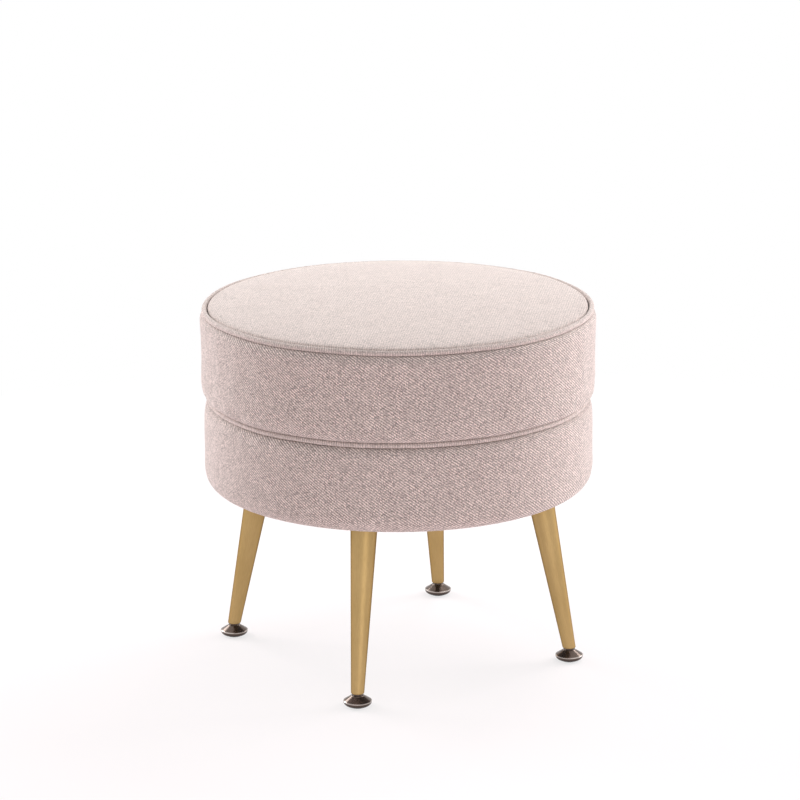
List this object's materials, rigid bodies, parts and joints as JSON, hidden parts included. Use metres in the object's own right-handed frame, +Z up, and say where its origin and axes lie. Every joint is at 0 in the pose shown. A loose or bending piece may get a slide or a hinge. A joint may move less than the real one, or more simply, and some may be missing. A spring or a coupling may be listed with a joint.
{
  "type": "pouf",
  "caption": "Round upholstered pouf: a two-tier drum with piped seams on splayed, tapered brass legs with levelling feet that screw in and out.",
  "frame": {"origin": "on the floor, under the middle of the drum", "axes": "+Z up along the drum's axis, -Y to the front, with the legs on the diagonals"},
  "size_m": [0.45, 0.45, 0.424],
  "materials": {
    "cover_fabric": "matte",
    "piping_cord": "matte",
    "dust_cloth": "matte",
    "wadding": "matte",
    "foam": "matte",
    "plywood": "matte",
    "hardboard": "matte",
    "pine": "matte",
    "zinc_screws": "satin",
    "brass_satin": "satin",
    "foot_bronze": "polished",
    "pad_rubber": "matte"
  },
  "bodies": {
    "frame": {"base_board": "plywood", "dust_cover": "dust_cloth", "frame_hoop": "hardboard", "frame_post_1": "pine", "frame_post_2": "pine", "frame_post_3": "pine", "frame_post_4": "pine", "frame_post_5": "pine", "frame_post_6": "pine", "frame_screws": "zinc_screws", "leg_plate_front_left": "brass_satin", "leg_plate_front_right": "brass_satin", "leg_plate_rear_left": "brass_satin", "leg_plate_rear_right": "brass_satin", "leg_plug_front_left": "brass_satin", "leg_plug_front_right": "brass_satin", "leg_plug_rear_left": "brass_satin", "leg_plug_rear_right": "brass_satin", "leg_tube_front_left": "brass_satin", "leg_tube_front_right": "brass_satin", "leg_tube_rear_left": "brass_satin", "leg_tube_rear_right": "brass_satin", "lower_band": "cover_fabric", "middle_piping": "cover_fabric", "middle_piping_cord": "piping_cord", "plate_screws": "zinc_screws", "seat_board": "plywood", "seat_foam": "foam", "seat_wadding": "wadding", "side_foam": "foam", "staples": "zinc_screws", "top_panel": "cover_fabric", "top_piping": "cover_fabric", "top_piping_cord": "piping_cord", "upper_band": "cover_fabric"},
    "stem_front_left": {"foot_stem_front_left": "foot_bronze"},
    "foot_front_left": {"foot_base_front_left": "foot_bronze", "foot_pad_front_left": "pad_rubber"},
    "stem_front_right": {"foot_stem_front_right": "foot_bronze"},
    "foot_front_right": {"foot_base_front_right": "foot_bronze", "foot_pad_front_right": "pad_rubber"},
    "stem_rear_right": {"foot_stem_rear_right": "foot_bronze"},
    "foot_rear_right": {"foot_base_rear_right": "foot_bronze", "foot_pad_rear_right": "pad_rubber"},
    "stem_rear_left": {"foot_stem_rear_left": "foot_bronze"},
    "foot_rear_left": {"foot_base_rear_left": "foot_bronze", "foot_pad_rear_left": "pad_rubber"}
  },
  "joints": [
    {"name": "foot_front_left_lift", "type": "slide", "parent": "frame", "child": "stem_front_left", "axis": [0, 0, -1], "range_m": [0, 0.006]},
    {"name": "foot_front_left_turn", "type": "hinge", "parent": "stem_front_left", "child": "foot_front_left", "pos_m": [-0.1423, -0.1423, 0.006], "axis": [0, 0, -1], "range_deg": [0, 2160]},
    {"name": "foot_front_right_lift", "type": "slide", "parent": "frame", "child": "stem_front_right", "axis": [0, 0, -1], "range_m": [0, 0.006]},
    {"name": "foot_front_right_turn", "type": "hinge", "parent": "stem_front_right", "child": "foot_front_right", "pos_m": [0.1423, -0.1423, 0.006], "axis": [0, 0, -1], "range_deg": [0, 2160]},
    {"name": "foot_rear_right_lift", "type": "slide", "parent": "frame", "child": "stem_rear_right", "axis": [0, 0, -1], "range_m": [0, 0.006]},
    {"name": "foot_rear_right_turn", "type": "hinge", "parent": "stem_rear_right", "child": "foot_rear_right", "pos_m": [0.1423, 0.1423, 0.006], "axis": [0, 0, -1], "range_deg": [0, 2160]},
    {"name": "foot_rear_left_lift", "type": "slide", "parent": "frame", "child": "stem_rear_left", "axis": [0, 0, -1], "range_m": [0, 0.006]},
    {"name": "foot_rear_left_turn", "type": "hinge", "parent": "stem_rear_left", "child": "foot_rear_left", "pos_m": [-0.1423, 0.1423, 0.006], "axis": [0, 0, -1], "range_deg": [0, 2160]}
  ],
  "couplings": [
    {"joint": "foot_front_left_lift", "follows": "foot_front_left_turn", "m_per_rad": 0.00015915},
    {"joint": "foot_front_right_lift", "follows": "foot_front_right_turn", "m_per_rad": 0.00015915},
    {"joint": "foot_rear_right_lift", "follows": "foot_rear_right_turn", "m_per_rad": 0.00015915},
    {"joint": "foot_rear_left_lift", "follows": "foot_rear_left_turn", "m_per_rad": 0.00015915}
  ]
}
